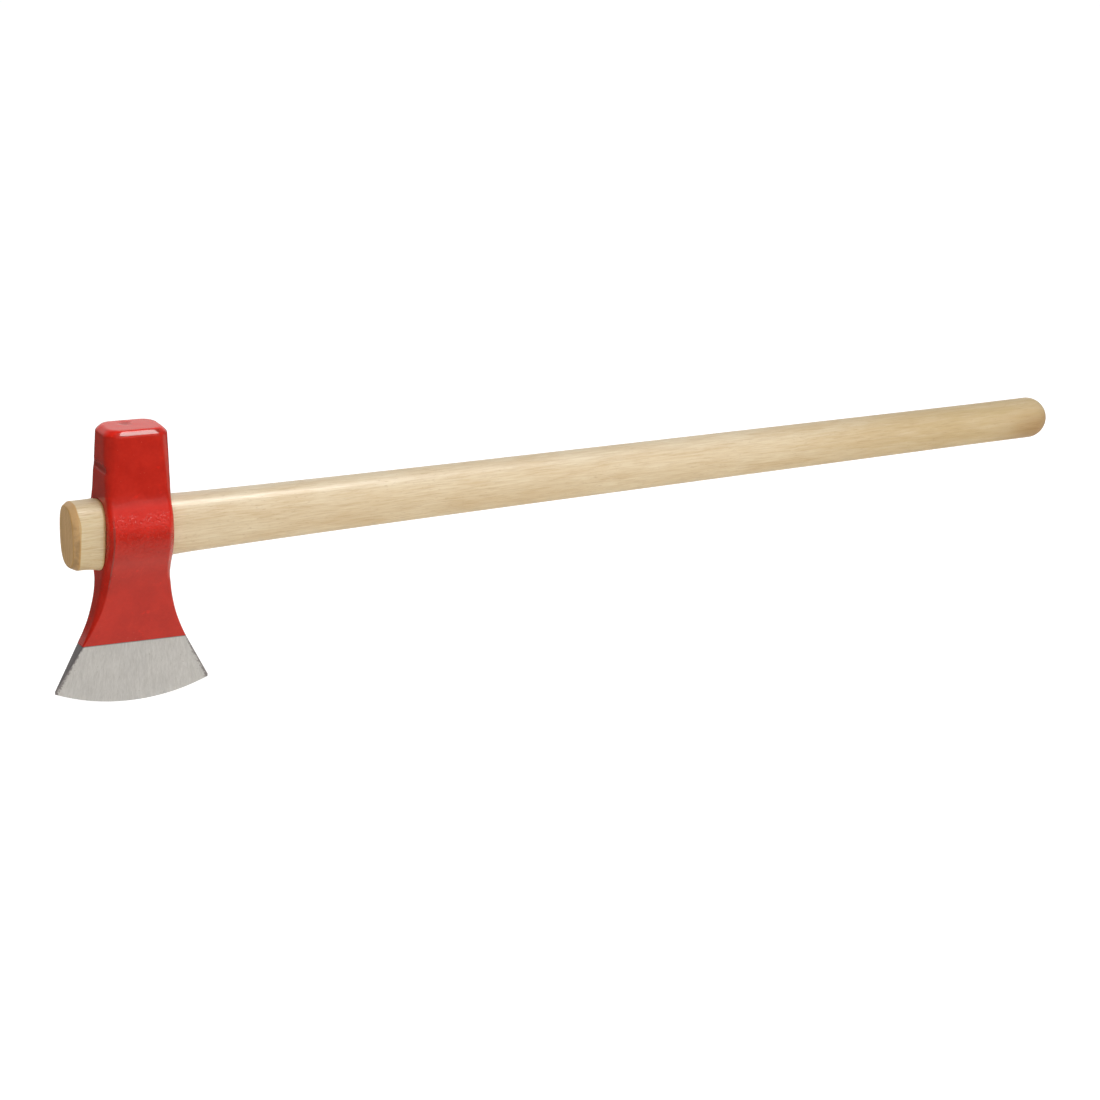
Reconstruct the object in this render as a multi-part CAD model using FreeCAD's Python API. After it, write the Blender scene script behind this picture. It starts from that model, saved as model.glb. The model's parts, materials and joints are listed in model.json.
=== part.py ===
import FreeCAD, Part
import math
import os

from FreeCAD import Vector

# Splitting maul: a forged head with a tapered eye, driven onto a tapered wooden handle.
# Frame: origin at the centre of the eye, on the handle's axis. +X runs down the handle from
# the head to the butt, +Z points out of the poll, and the cutting edge is down (-Z).
# The head's heights are measured from the eye's centre. Millimetres and degrees.

# ---- head: poll (the hammer end) ----
POLL_WIDTH = 50.6          # along the handle, at the striking face
POLL_THICKNESS = 39.8      # across the cheeks
POLL_HEIGHT = 82.5         # eye centre to striking face
FACE_BEVEL = 4.0           # bevel round the striking face
DIMPLE_DIAMETER = 8.0      # press mark in the striking face
DIMPLE_DEPTH = 0.5
DIMPLE_ALONG = -3.5        # from the face's centre, along the handle
DIMPLE_ACROSS = 5.0
GROOVE_HEIGHT = 5.0        # shallow die mark across the poll's front side
GROOVE_DEPTH = 0.6
GROOVE_CENTRE = 53.5       # above the eye centre

# ---- head: eye, cheeks and neck ----
EYE_THICKNESS = 58.0       # across the cheeks at the eye
EYE_SWELL_RADIUS = 38.0    # outward round of the cheeks at the eye
POLL_HOLLOW_RADIUS = 45.0  # inward round between swell and poll
CHEEK_HOLLOW_RADIUS = 75.0  # inward round between swell and blade
NECK_WIDTH = 55.0          # along the handle
NECK_DEPTH = 38.0          # eye centre to the corner where the blade flares
HANG = 1.4                 # lean of the head about the eye, edge away from the hand

# ---- head: corner flats, as the leg cut off each side of the corner ----
CORNER_AT_FACE = 8.0
CORNER_AT_POLL_FOOT = 3.4
CORNER_AT_EYE = 2.4
CORNER_BELOW_EYE = 5.3
CORNER_AT_NECK = 4.9
CORNER_ON_BLADE = 3.7

# ---- head: blade ----
BIT_DEPTH = 89.0           # eye centre to the top of the ground bit
BIT_WIDTH = 84.2
BIT_THICKNESS = 12.8
CHEEK_SLOPE = 0.139        # half-thickness gained per height above the bit
FLARE_HOLLOW = 2.6         # how far the blade's sides curve in from straight
EDGE_DEPTH = 139.4         # eye centre to the lowest point of the edge
EDGE_WIDTH = 124.8
EDGE_RADIUS = 165.0
EDGE_LAND = 0.8            # thickness left at the cutting edge
TIP_FLAT = 2.0             # blunt end of the edge at toe and heel

# ---- handle ----
HANDLE_LENGTH = 900.0
FRONT_OVERHANG = 52.0      # eye centre to the handle's front end
FRONT_CHAMFER_LENGTH = 5.0
FRONT_CHAMFER_DEPTH = 2.7
SEAT_STAND = 12.0          # how much taller the seat is than the grip, where it leaves the head
SEAT_HEIGHT_TAPER = 0.083  # height lost per length
SEAT_WIDTH_TAPER = 0.036
SEAT_TAIL = 17.5           # tapered seat left bare behind the head
SHAFT_TAPER = 8.5          # height lost evenly from seat to grip
SHOULDER_POWER = 8         # how quickly the rest of the seat's height fades behind the head
GRIP_DIAMETER = 35.2
GRIP_LENGTH = 60.0         # round and straight, before the domed butt

# ---- fits, radial ----
SEAT_CLEARANCE = 0.05      # between the handle's seat and the eye
PASS_CLEARANCE = 0.2       # between the grip and the seat's narrow end, so the head slides off

# ---- smoothness of the lofts ----
SHAFT_SECTIONS = 17

# ---- spare material on tools that cut right through ----
OVERRUN = 4.0


def unit(a, b):
    """Direction from a to b."""
    return (b - a).normalize()


class CheekProfile:
    """Half of the head's front profile, as points (half thickness, height) joined by tangent arcs."""

    def __init__(self):
        poll_half = POLL_THICKNESS / 2
        self.swell = Vector(EYE_THICKNESS / 2 - EYE_SWELL_RADIUS, 0, 0)
        reach = EYE_SWELL_RADIUS + POLL_HOLLOW_RADIUS
        across = poll_half + POLL_HOLLOW_RADIUS - self.swell.x
        self.poll_hollow = Vector(poll_half + POLL_HOLLOW_RADIUS, math.sqrt(reach**2 - across**2), 0)
        self.poll_foot = Vector(poll_half, self.poll_hollow.y, 0)
        self.swell_top = self.swell + unit(self.swell, self.poll_hollow) * EYE_SWELL_RADIUS

        # The cheek's straight wedge runs up from the bit; the hollow touches it and the swell.
        self.bit = Vector(BIT_THICKNESS / 2, -BIT_DEPTH, 0)
        along = Vector(CHEEK_SLOPE, 1, 0).normalize()
        outward = Vector(along.y, -along.x, 0)
        start = self.bit + outward * CHEEK_HOLLOW_RADIUS - self.swell
        reach = EYE_SWELL_RADIUS + CHEEK_HOLLOW_RADIUS
        middle = start.dot(along)
        run = -middle - math.sqrt(middle**2 - start.dot(start) + reach**2)
        self.cheek_hollow = self.swell + start + along * run
        self.cheek_foot = self.cheek_hollow - outward * CHEEK_HOLLOW_RADIUS
        self.swell_foot = self.swell + unit(self.swell, self.cheek_hollow) * EYE_SWELL_RADIUS

    def half_thickness(self, z):
        """Half thickness of the head at height z, above the bit."""
        if z >= self.poll_foot.y:
            return POLL_THICKNESS / 2
        if z >= self.swell_top.y:
            return self.poll_hollow.x - math.sqrt(POLL_HOLLOW_RADIUS**2 - (z - self.poll_hollow.y) ** 2)
        if z >= self.swell_foot.y:
            return self.swell.x + math.sqrt(EYE_SWELL_RADIUS**2 - z**2)
        if z >= self.cheek_foot.y:
            return self.cheek_hollow.x - math.sqrt(CHEEK_HOLLOW_RADIUS**2 - (z - self.cheek_hollow.y) ** 2)
        return self.bit.x + CHEEK_SLOPE * (z - self.bit.y)

    def edges(self, side):
        """The profile's edges on one side (+1 or -1), from the striking face down to the bit."""

        def at(point):
            return Vector(0, side * point.x, point.y)

        def on_arc(z):
            return Vector(0, side * self.half_thickness(z), z)

        top = POLL_HEIGHT - FACE_BEVEL
        poll_half = POLL_THICKNESS / 2
        face = Vector(0, side * (poll_half - FACE_BEVEL), POLL_HEIGHT)
        shoulder = Vector(0, side * poll_half, top)
        return [
            Part.LineSegment(face, shoulder).toShape(),
            Part.LineSegment(shoulder, at(self.poll_foot)).toShape(),
            arc_between(at(self.poll_foot), at(self.swell_top), on_arc),
            arc_between(at(self.swell_top), at(self.swell_foot), on_arc),
            arc_between(at(self.swell_foot), at(self.cheek_foot), on_arc),
            Part.LineSegment(at(self.cheek_foot), at(self.bit)).toShape(),
        ]


def arc_between(start, end, on_arc):
    """Arc from start to end; on_arc gives the curve's point at a height."""
    return Part.Arc(start, on_arc((start.z + end.z) / 2), end).toShape()


def flare_arc():
    """Side outline of the blade from neck to bit, as (start, middle, end) in the X-Z plane."""
    start = Vector(NECK_WIDTH / 2, 0, -NECK_DEPTH)
    end = Vector(BIT_WIDTH / 2, 0, -BIT_DEPTH)
    inward = Vector(0, 1, 0).cross(unit(start, end))
    middle = (start + end) * 0.5 + inward * FLARE_HOLLOW
    return start, middle, end


def half_width(z):
    """Half width of the head along the handle at height z, above the bit."""
    if z >= -NECK_DEPTH:
        share = (POLL_HEIGHT - z) / (POLL_HEIGHT + NECK_DEPTH)
        return (POLL_WIDTH + (NECK_WIDTH - POLL_WIDTH) * share) / 2
    circle = Part.Circle(*flare_arc())
    rise = z - circle.Center.z
    return circle.Center.x - math.sqrt(circle.Radius**2 - rise**2)


def corner_leg(z, cheek):
    """Leg of the head's corner flat at height z, eased between the named sizes."""
    stations = (
        (POLL_HEIGHT, CORNER_AT_FACE),
        (cheek.poll_foot.y, CORNER_AT_POLL_FOOT),
        (0, CORNER_AT_EYE),
        (cheek.swell_foot.y, CORNER_BELOW_EYE),
        (-NECK_DEPTH, CORNER_AT_NECK),
        (-(NECK_DEPTH + BIT_DEPTH) / 2, CORNER_ON_BLADE),
        (-BIT_DEPTH, 0),
    )
    for (upper, leg_up), (lower, leg_down) in zip(stations, stations[1:]):
        if z >= lower:
            return leg_down + (leg_up - leg_down) * (z - lower) / (upper - lower)
    return 0


def cornered_section(z, half, flat_half, cheek_half):
    """Eight-sided section that bounds the head's sides and corner flats, and clears its cheeks."""
    reach = cheek_half + OVERRUN
    waist = half - (reach - flat_half)
    quarter = ((half, flat_half), (waist, reach))
    ring = list(quarter)
    ring += [(-x, y) for x, y in reversed(quarter)]
    ring += [(-x, -y) for x, y in quarter]
    ring += [(x, -y) for x, y in reversed(quarter)]
    points = [Vector(x, y, z) for x, y in ring]
    return Part.makePolygon(points + points[:1])


def side_section(z, cheek):
    cheek_half = cheek.half_thickness(z)
    return cornered_section(z, half_width(z), cheek_half - corner_leg(z, cheek), cheek_half)


def side_bounds(cheek):
    """Four lofts, top to bottom, that shape the head's sides and corner flats."""
    shoulder = POLL_HEIGHT - FACE_BEVEL
    face_side = half_width(shoulder) - FACE_BEVEL
    flat_half = POLL_THICKNESS / 2 - corner_leg(shoulder, cheek)
    face_flat = flat_half - FACE_BEVEL * (math.sqrt(2) - 1)
    face = cornered_section(POLL_HEIGHT, face_side, face_flat, POLL_THICKNESS / 2)
    cap = Part.makeLoft([face, side_section(shoulder, cheek)], True, True)

    poll_foot = cheek.poll_foot.y
    poll = Part.makeLoft([side_section(z, cheek) for z in (shoulder, poll_foot)], True, True)
    eye = Part.makeLoft([side_section(z, cheek) for z in spaced(poll_foot, -NECK_DEPTH, 9)], True, False)
    blade = Part.makeLoft([side_section(z, cheek) for z in spaced(-NECK_DEPTH, -BIT_DEPTH, 6)], True, False)
    return [cap, poll, eye, blade]


def spaced(start, end, count):
    """Evenly spaced values from start to end."""
    return [start + (end - start) * i / (count - 1) for i in range(count)]


def cheek_slab(cheek):
    """The front profile, carried right across the head's width."""
    right = cheek.edges(1)
    left = cheek.edges(-1)
    top = Part.LineSegment(left[0].Vertexes[0].Point, right[0].Vertexes[0].Point).toShape()
    bottom = Part.LineSegment(right[-1].Vertexes[-1].Point, left[-1].Vertexes[-1].Point).toShape()
    outline = Part.Wire(Part.__sortEdges__([top] + right + [bottom] + left))
    width = EDGE_WIDTH + 2 * OVERRUN
    slab = Part.Face(outline).extrude(Vector(width, 0, 0))
    slab.translate(Vector(-width / 2, 0, 0))
    return slab


def ground_bit():
    """Wedge from the blade to the curved cutting edge, ground so that the edge is even from toe to heel."""
    top_x = BIT_WIDTH / 2
    top_y = BIT_THICKNESS / 2
    edge_x = EDGE_WIDTH / 2
    edge_y = EDGE_LAND / 2
    centre_z = EDGE_RADIUS - EDGE_DEPTH
    tip_z = centre_z - math.sqrt(EDGE_RADIUS**2 - edge_x**2)
    flat_z = tip_z + TIP_FLAT

    def cheek_edges(side):
        corners = [
            Vector(-top_x, side * top_y, -BIT_DEPTH),
            Vector(-edge_x, side * edge_y, flat_z),
            Vector(-edge_x, side * edge_y, tip_z),
            Vector(edge_x, side * edge_y, tip_z),
            Vector(edge_x, side * edge_y, flat_z),
            Vector(top_x, side * top_y, -BIT_DEPTH),
        ]
        lowest = Vector(0, side * edge_y, -EDGE_DEPTH)
        lines = [Part.LineSegment(a, b).toShape() for a, b in zip(corners, corners[1:] + corners[:1])]
        lines[2] = Part.Arc(corners[2], lowest, corners[3]).toShape()
        return corners, lines

    near_corners, near = cheek_edges(-1)
    far_corners, far = cheek_edges(1)
    faces = []
    for corners, lines in ((near_corners, near), (far_corners, far)):
        # The two end triangles are flat, and the grind between them is ruled from top to edge.
        toe = Part.LineSegment(corners[0], corners[2]).toShape()
        heel = Part.LineSegment(corners[3], corners[5]).toShape()
        faces.append(Part.Face(Part.Wire([lines[0], lines[1], toe])))
        faces.append(Part.Face(Part.Wire([lines[3], lines[4], heel])))
        top_line = Part.LineSegment(corners[0], corners[5]).toShape()
        faces.append(Part.makeRuledSurface(top_line, lines[2]))
    for near_edge, far_edge in zip(near, far):
        faces.append(Part.makeRuledSurface(near_edge, far_edge))
    return as_solid(faces)


def as_solid(faces):
    """Closed solid from faces that meet edge to edge, turned the right way out."""
    shell = Part.makeShell(Part.Compound(faces).Faces)
    shell.sewShape()
    solid = Part.Solid(shell)
    if solid.Volume < 0:
        solid.reverse()
    return solid


def seat_size(x, clearance=0.0):
    """Height and width of the handle's tapered seat at x."""
    run = NECK_WIDTH / 2 - x
    height = GRIP_DIAMETER + SEAT_STAND + SEAT_HEIGHT_TAPER * run
    width = GRIP_DIAMETER + 2 * PASS_CLEARANCE + SEAT_WIDTH_TAPER * run
    return height + 2 * clearance, width + 2 * clearance


def shaft_size(x, grip_start):
    """Height and width of the shaft at x, between the seat and the grip."""
    start = NECK_WIDTH / 2 + SEAT_TAIL
    height, width = seat_size(start)
    left = (grip_start - x) / (grip_start - start)
    shoulder = height - GRIP_DIAMETER - SHAFT_TAPER
    tall = GRIP_DIAMETER + SHAFT_TAPER * left + shoulder * left**SHOULDER_POWER
    return tall, GRIP_DIAMETER + (width - GRIP_DIAMETER) * left


def oval(x, height, width):
    """Upright ellipse across the handle's axis at x."""
    ellipse = Part.Ellipse(Vector(x, 0, height / 2), Vector(x, width / 2, 0), Vector(x, 0, 0))
    return Part.Wire(ellipse.toShape())


def eye_hole():
    """The eye: the seat's own taper, grown by the clearance, right through the head."""
    half = NECK_WIDTH / 2 + OVERRUN
    ends = [oval(x, *seat_size(x, SEAT_CLEARANCE)) for x in (-half, half)]
    return Part.makeLoft(ends, True, True)


def dimple():
    radius = (DIMPLE_DIAMETER**2 / 4 + DIMPLE_DEPTH**2) / (2 * DIMPLE_DEPTH)
    return Part.makeSphere(radius, Vector(DIMPLE_ALONG, DIMPLE_ACROSS, POLL_HEIGHT + radius - DIMPLE_DEPTH))


def side_groove():
    side = half_width(GROOVE_CENTRE)
    size = (OVERRUN, POLL_THICKNESS, GROOVE_HEIGHT)
    corner = Vector(GROOVE_DEPTH - side - OVERRUN, -POLL_THICKNESS / 2, GROOVE_CENTRE - GROOVE_HEIGHT / 2)
    return Part.makeBox(*size, corner)


def maul_head():
    cheek = CheekProfile()
    slab = cheek_slab(cheek)
    parts = [slab.common(bound) for bound in side_bounds(cheek)]
    parts.append(ground_bit())
    head = parts[0].multiFuse(parts[1:])
    head = head.cut(dimple()).cut(side_groove())
    head.rotate(Vector(0, 0, 0), Vector(0, 1, 0), HANG)
    return head.cut(eye_hole()).removeSplitter()


def handle():
    front = -FRONT_OVERHANG
    seat_start = front + FRONT_CHAMFER_LENGTH
    butt_centre = front + HANDLE_LENGTH - GRIP_DIAMETER / 2
    seat_end = NECK_WIDTH / 2 + SEAT_TAIL
    grip_start = butt_centre - GRIP_LENGTH

    chamfer = [oval(front, *seat_size(seat_start, -FRONT_CHAMFER_DEPTH)), oval(seat_start, *seat_size(seat_start))]
    seat = [oval(x, *seat_size(x)) for x in (seat_start, seat_end)]
    shaft = [oval(x, *shaft_size(x, grip_start)) for x in spaced(seat_end, grip_start, SHAFT_SECTIONS)]
    grip = Part.makeCylinder(GRIP_DIAMETER / 2, GRIP_LENGTH, Vector(grip_start, 0, 0), Vector(1, 0, 0))
    butt = Part.makeSphere(GRIP_DIAMETER / 2, Vector(butt_centre, 0, 0))

    body = Part.makeLoft(chamfer, True, True)
    pieces = [Part.makeLoft(seat, True, True), Part.makeLoft(shaft, True, False), grip, butt]
    return body.multiFuse(pieces).removeSplitter()


def save(name, shape):
    """Write one node, after checking that it is a single sound solid."""
    print(f"{name}: valid {shape.isValid()}, solids {len(shape.Solids)}, volume {shape.Volume / 1000:.1f} cm3")
    shape.exportStep(f"parts/{name}.step")


os.makedirs("parts", exist_ok=True)
save("maul_head", maul_head())
save("handle", handle())
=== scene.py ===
import functools
import json
import math

import bpy
import numpy as np
from mathutils import Matrix, Vector, noise


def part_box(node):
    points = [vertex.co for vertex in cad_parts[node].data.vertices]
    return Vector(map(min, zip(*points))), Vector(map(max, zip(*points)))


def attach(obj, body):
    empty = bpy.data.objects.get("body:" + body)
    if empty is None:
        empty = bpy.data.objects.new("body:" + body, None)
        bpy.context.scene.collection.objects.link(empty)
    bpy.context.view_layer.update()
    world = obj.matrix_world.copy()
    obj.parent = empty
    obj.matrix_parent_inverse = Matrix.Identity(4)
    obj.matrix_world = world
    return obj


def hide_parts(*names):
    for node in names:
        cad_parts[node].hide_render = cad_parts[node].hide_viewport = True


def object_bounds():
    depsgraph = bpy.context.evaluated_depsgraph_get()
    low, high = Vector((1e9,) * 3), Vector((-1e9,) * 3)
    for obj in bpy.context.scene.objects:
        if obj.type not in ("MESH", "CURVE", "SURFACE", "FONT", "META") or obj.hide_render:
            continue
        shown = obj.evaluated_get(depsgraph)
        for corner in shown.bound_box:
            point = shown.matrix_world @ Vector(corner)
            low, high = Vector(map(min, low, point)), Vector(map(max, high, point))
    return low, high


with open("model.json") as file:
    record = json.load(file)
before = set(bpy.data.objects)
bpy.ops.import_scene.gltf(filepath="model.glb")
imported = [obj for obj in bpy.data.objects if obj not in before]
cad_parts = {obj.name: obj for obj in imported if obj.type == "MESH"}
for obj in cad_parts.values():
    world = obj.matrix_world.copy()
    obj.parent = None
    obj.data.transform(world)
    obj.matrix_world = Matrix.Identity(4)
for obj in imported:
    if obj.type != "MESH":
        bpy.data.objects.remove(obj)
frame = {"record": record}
CAD_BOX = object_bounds()

# Splitting maul: a forged, red-enamelled head with a bare ground bit, driven onto a tapered
# beech handle. +X runs down the handle from the head, +Z points out of the poll, and the
# cutting edge is down. Metres. The head is shaped upright and then leaned by HANG about the eye.

MOUNTS = {mount["name"]: mount for mount in frame["record"]["mounts"]}
FACE = MOUNTS["striking_face"]
GRIP = MOUNTS["butt_grip"]
HEAD_LOW, HEAD_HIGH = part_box("maul_head")
HANDLE_LOW, HANDLE_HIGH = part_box("handle")

# ---- head ----
HANG = math.atan2(FACE["axis"][0], FACE["axis"][2])
POLL_HEIGHT = Vector(FACE["pos_m"]).length
EYE_THICKNESS = HEAD_HIGH[1] - HEAD_LOW[1]
POLL_WIDTH = 0.0506
POLL_THICKNESS = 0.0398
FACE_BEVEL = 0.0040
EYE_SWELL_RADIUS = 0.038
POLL_HOLLOW_RADIUS = 0.045
CHEEK_HOLLOW_RADIUS = 0.075
NECK_WIDTH = 0.0550
NECK_DEPTH = 0.038
BIT_DEPTH = 0.089
BIT_WIDTH = 0.0842
BIT_THICKNESS = 0.0128
CHEEK_SLOPE = 0.139
FLARE_HOLLOW = 0.0026
EDGE_DEPTH = 0.1394
EDGE_WIDTH = 0.1248
EDGE_RADIUS = 0.165
EDGE_LAND = 0.0005
TIP_FLAT = 0.0020
TIP_GATHER = 6              # how close to toe and heel the blunt tips stay
PAINT_THICKNESS = 0.00014

# ---- head: corner flats and their rounded edges, as (height, size) ----
FRONT_FLATS = [
    (-BIT_DEPTH, 0.0007),
    (-0.0635, 0.0037),
    (-0.0480, 0.0045),
    (-0.0300, 0.0048),
    (-0.0120, 0.0036),
    (0.0300, 0.0034),
    (0.0400, 0.0038),
    (0.0540, 0.0056),
    (POLL_HEIGHT, 0.0080),
]
BACK_FLATS = [
    (-BIT_DEPTH, 0.0007),
    (-0.0635, 0.0012),
    (-0.0420, 0.0017),
    (-0.0350, 0.0040),
    (-0.0190, 0.0054),
    (-0.0040, 0.0058),
    (0.0060, 0.0049),
    (0.0170, 0.0036),
    (0.0400, 0.0040),
    (POLL_HEIGHT, 0.0080),
]
SIDE_ROUNDS = [
    (-BIT_DEPTH, 0.0003),
    (-0.0700, 0.0028),
    (-0.0450, 0.0034),
    (0.0300, 0.0026),
    (POLL_HEIGHT, 0.0046),
]
CHEEK_ROUNDS = [
    (-BIT_DEPTH, 0.0003),
    (-0.0600, 0.0008),
    (-0.0200, 0.0010),
    (0.0200, 0.0018),
    (POLL_HEIGHT, 0.0044),
]
FLAT_FAIRING = 0.0028
FAIRING_STEPS = 7
FLAT_LEAST = 0.0003
ROUND_LIMIT = 0.45          # share of a side that its rounded corner may take

# ---- head: press mark and groove ----
DIMPLE_PLACE = (-0.0035, 0.0050)
DIMPLE_RADIUS = 0.0050
DIMPLE_DEPTH = 0.00040
DIMPLE_STRETCH = 0.85
DIMPLE_REACH = 1.15
DIMPLE_ROUND = 0.7          # below 1 the bowl has a flatter floor and steeper walls
TAIL_PLACE = (0.0040, 0.0028)
TAIL_SIZE = (0.0022, 0.0016)
TAIL_SHARE = 0.7
GROOVE_CENTRE = 0.0522
GROOVE_HEIGHT = 0.0086
GROOVE_DEPTH = 0.0009
GROOVE_LEAN = 1.3           # above 1 the groove is deepest below its middle
GROOVE_EDGE = 1.2
GROOVE_OVERRUN = 0.0012
GROOVE_FADE = 0.0030

# ---- handle ----
FRONT_END = HANDLE_LOW[0]
BUTT_END = HANDLE_HIGH[0]
GRIP_RADIUS = GRIP["dims"]["r_mm"] / 1000
GRIP_LENGTH = GRIP["dims"]["length_mm"] / 1000
GRIP_START = GRIP["pos_m"][0] - GRIP_LENGTH / 2
CHAMFER_LENGTH = 0.0050
CHAMFER_DEPTH = 0.0027
CHAMFER_WANDER = 0.0007
WANDER_END = FRONT_END + CHAMFER_LENGTH + 0.0012
SEAT_STAND = 0.0120
SEAT_HEIGHT_TAPER = 0.083
SEAT_WIDTH_TAPER = 0.036
SEAT_TAIL = 0.0175
SEAT_END = NECK_WIDTH / 2 + SEAT_TAIL
SEAT_FULLNESS = 2.6
SHAFT_TAPER = 0.0085
SHAFT_RIPPLE = 0.0002
SHOULDER_POWER = 8
FULLNESS_POWER = 4
PASS_CLEARANCE = 0.0002
SEAT_CLEARANCE = 0.00005
MOUTH_ROUND = 0.0006
END_ROUND = 0.0009
JUNCTION_ROUND = 0.0042
STUB_GROWTH = 3             # how late along the stub its lip and foot start to swell
LIP_DEPTH = 0.0005
LIP_ROUND = 0.0009
FOOT_DROP = 0.0021
FOOT_ROUND = 0.0016
FOOT_FULLNESS = 0.5

# ---- how finely the head is meshed; spans are first height, limit and step ----
SIDE_STEPS = 16
ROUND_STEPS = 5
FLAT_STEPS = 4
CHEEK_STEPS = 26
CHEEK_FIRST = SIDE_STEPS + 2 * ROUND_STEPS + FLAT_STEPS - 1
QUARTER_POINTS = CHEEK_FIRST + CHEEK_STEPS - 1
PATCH_LOW = -0.0300
PATCH_HIGH = 0.0300
PATCH_RINGS = 49
PATCH_STEPS = 7
MOUTH_STEPS = 6
BORE_STEPS = 12
BIT_STEPS = 30
TOP_STEPS = 22
BEVEL_STEPS = 7
BEVEL_ROUND = 0.0016
BELOW_EYE = (-BIT_DEPTH + 0.0006, PATCH_LOW - 0.0005, 0.0015)
ABOVE_EYE = (PATCH_HIGH + 0.0014, 0.0460, 0.0015)
AT_GROOVE = (0.0470, 0.0576, 0.0005)
AT_POLL = (0.0586, POLL_HEIGHT - FACE_BEVEL - BEVEL_ROUND - 0.0004, 0.0014)
FORGE_WAVE = 0.00016
FORGE_LENGTH = 0.016
FORGE_DETAIL = (1.0, 2.1, 3)  # falloff, spacing and number of finer waves
FORGE_FADE = 0.010
FORGE_AT_MOUTH = 0.3

# ---- how finely the handle is meshed; spans are first place, limit and step ----
TURN_POINTS = 112
FACE_RINGS = 10
CHAMFER_STEPS = 6
SEAT_RINGS = 24
GRIP_RINGS = 15
DOME_RINGS = 18
MOUTH = -NECK_WIDTH / 2
STUB_SPAN = (FRONT_END + CHAMFER_LENGTH + 0.0024, MOUTH - 0.0040, 0.0014)
MOUTH_SPAN = (MOUTH - 0.0036, MOUTH + 0.0044, 0.0003)
SHAFT_SPAN = (SEAT_END + 0.0025, GRIP_START, 0.0040)
SEAT_FROM = MOUTH + 0.0060
FACE_SHARES = (0.06, 0.94)  # innermost and outermost ring of the sawn end
RIPPLE_ALONG = 22
RIPPLE_AROUND = 1.4

# ---- finish numbers marked on the mesh: "edge" wears, and browns a band of the handle by the head; "hollow" pools paint with painted shade, or stays unground ----
CREST_SPAN = (0.12, 0.88)   # how far round its half wave an edge's wear starts and ends
SIDE_EDGE_WEAR = 0.15
BACK_EDGE_WEAR = 0.5
BEVEL_WEAR = 0.8
MOUTH_WEAR = 0.15
# how dark the groove and the press mark turn, as pooled paint and painted shade
GROOVE_POOL_SHADE = 0.75
DIMPLE_POOL_SHADE = 0.65
TURNING_UNGROUND = 0.62
CHEEK_UNGROUND = 0.12
SHARP_ANGLE = 38
ENAMEL, BARE = 0, 1

# ---- enamel: colours, and the places of its patches as (fades in), (fades out) ----
ENAMEL_DEEP = (0.415, 0.013, 0.006)
ENAMEL_BRIGHT = (0.500, 0.018, 0.009)
# fresh red: random runs of thicker paint, and painted light on the upper swell by the eye
ENAMEL_FRESH_AND_LIGHT = (0.66, 0.016, 0.007)
# painted light: a brighter red for the light from above on the striking face and its bevel
ENAMEL_PAINTED_LIGHT = (0.74, 0.019, 0.009)
# thin paint on worn edges, and the painted shade band along the bevel
ENAMEL_THIN_AND_SHADE = (0.110, 0.043, 0.033)
ENAMEL_GRIT = (0.70, 0.12, 0.09)
# pooled paint and painted shade in the groove and the press mark
ENAMEL_POOLED_SHADE = (0.19, 0.010, 0.005)
ENAMEL_ROUGHNESS = (0.10, 0.15)
THIN_ROUGHER = 0.25
POOLED_ROUGHER = 0.40
# painted light on the striking face and its bevel
PAINTED_LIGHT_FACE_HEIGHTS = (POLL_HEIGHT - FACE_BEVEL - 0.0012, POLL_HEIGHT - 0.0010)
# painted shade: a band along the middle of the bevel that quietens its highlight
PAINTED_SHADE_ALONG = ((-0.018, -0.010), (0.024, 0.016))
PAINTED_SHADE_HEIGHTS = (
    (POLL_HEIGHT - 0.0040, POLL_HEIGHT - 0.0030),
    (POLL_HEIGHT - 0.0006, POLL_HEIGHT - 0.0014),
)
# painted light on the upper half of the swell round the eye
PAINTED_LIGHT_SWELL_HEIGHTS = ((0.000, 0.011), (0.028, 0.022))
THIN_HEIGHTS = ((-0.052, -0.034), (0.024, 0.008))
ROUGH_HEIGHTS = ((-0.022, -0.004), (0.024, 0.012))

# ---- steel: colours, and its streaks as across per metre, along per metre, low and high ----
STEEL_SCALE = (0.155, 0.135, 0.147)
STEEL_DARK = (0.50, 0.502, 0.512)
STEEL_LIGHT = (0.66, 0.662, 0.675)
STEEL_GRIT = (0.30, 0.29, 0.28)
STEEL_ROUGHNESS = (0.36, 0.48)
SMEAR_ROUGHER = (0.0, 0.06)
GRINDING_LINES = (1250.0, 200.0, 0.32, 0.68)
GRINDING_BANDS = (420.0, 60.0, 0.25, 0.75)
GRINDING_FAN = 1.15         # how much the lines spread apart towards the edge
PAINT_EDGE = (-BIT_DEPTH - 0.0010, -BIT_DEPTH - 0.0004)

# ---- beech: colours, streaks as for the steel, and the places of its patches ----
BEECH_PALE = (0.73, 0.625, 0.450)
BEECH_WARM = (0.66, 0.530, 0.350)
BEECH_TAN = (0.53, 0.375, 0.200)
BEECH_FLECK = (0.36, 0.21, 0.10)
BEECH_RAW = (0.52, 0.435, 0.240)
# darker wood towards the grip
BEECH_DARKER_TO_GRIP = (0.46, 0.330, 0.135)
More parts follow.
